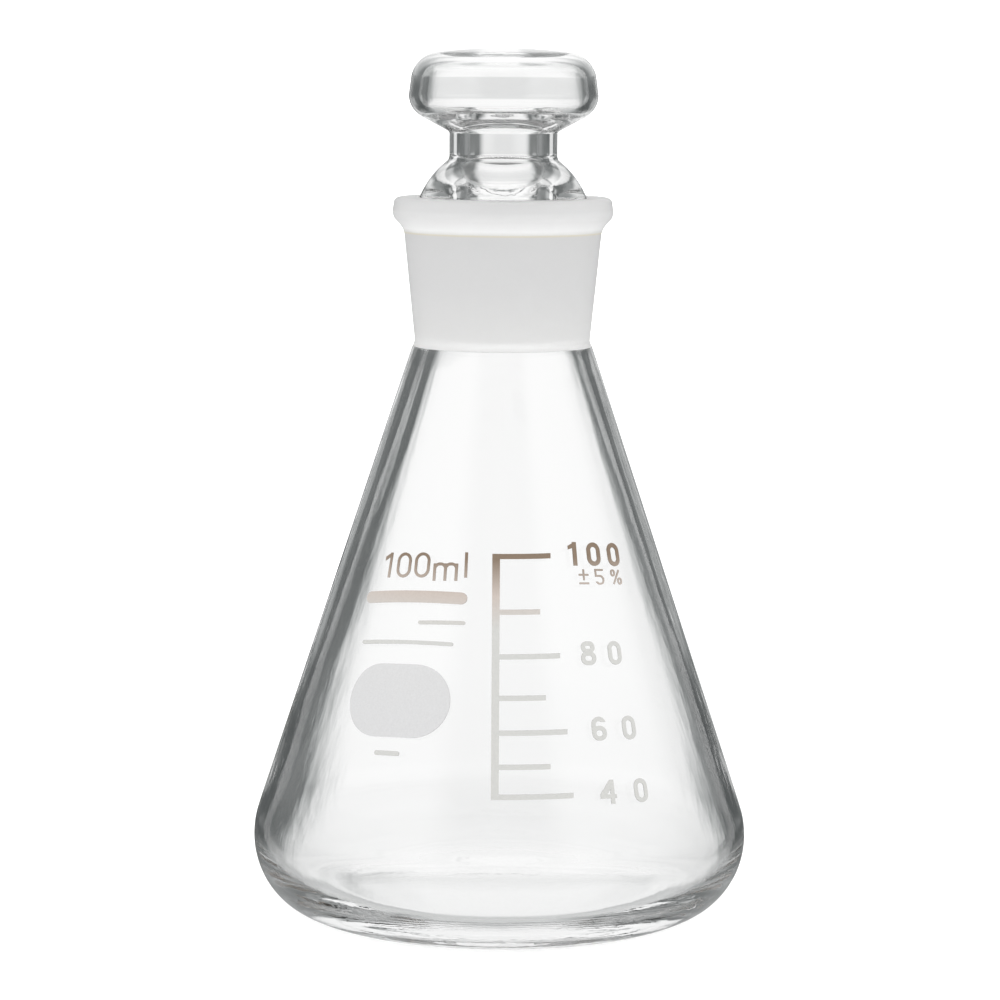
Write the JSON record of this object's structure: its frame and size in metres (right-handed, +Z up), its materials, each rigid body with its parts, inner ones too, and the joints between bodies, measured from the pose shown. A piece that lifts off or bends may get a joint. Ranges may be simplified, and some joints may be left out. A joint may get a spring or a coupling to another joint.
{
  "type": "erlenmeyer flask",
  "caption": "Conical borosilicate glass flask with a ground neck, a hollow ground glass stopper and a printed volume scale.",
  "frame": {"origin": "centre of the base, on the surface that the flask stands on", "axes": "+Z up along the flask's axis, towards the stopper; the printed scale faces -Y, so +X is to the right of someone who reads it"},
  "size_m": [0.064, 0.064, 0.1114],
  "materials": {
    "clear_glass": "polished",
    "ground_glass": "ground matt",
    "scale_enamel": "fired enamel print",
    "brown_enamel": "fired enamel print",
    "pink_enamel": "fired enamel print",
    "patch_enamel": "fired matt enamel"
  },
  "bodies": {
    "flask": {"flask_body": "clear_glass", "ground_neck": "ground_glass", "scale_lines": "scale_enamel", "scale_numerals": "scale_enamel", "tolerance_mark": "brown_enamel", "capacity_mark": "brown_enamel", "plain_bars": "pink_enamel", "write_on_patch": "patch_enamel"},
    "stopper": {"stopper_head": "clear_glass", "stopper_plug": "ground_glass"}
  },
  "joints": [
    {"name": "stopper_lift", "type": "slide", "parent": "flask", "child": "stopper", "axis": [0, 0, 1], "range_m": [0, 0.03]}
  ]
}
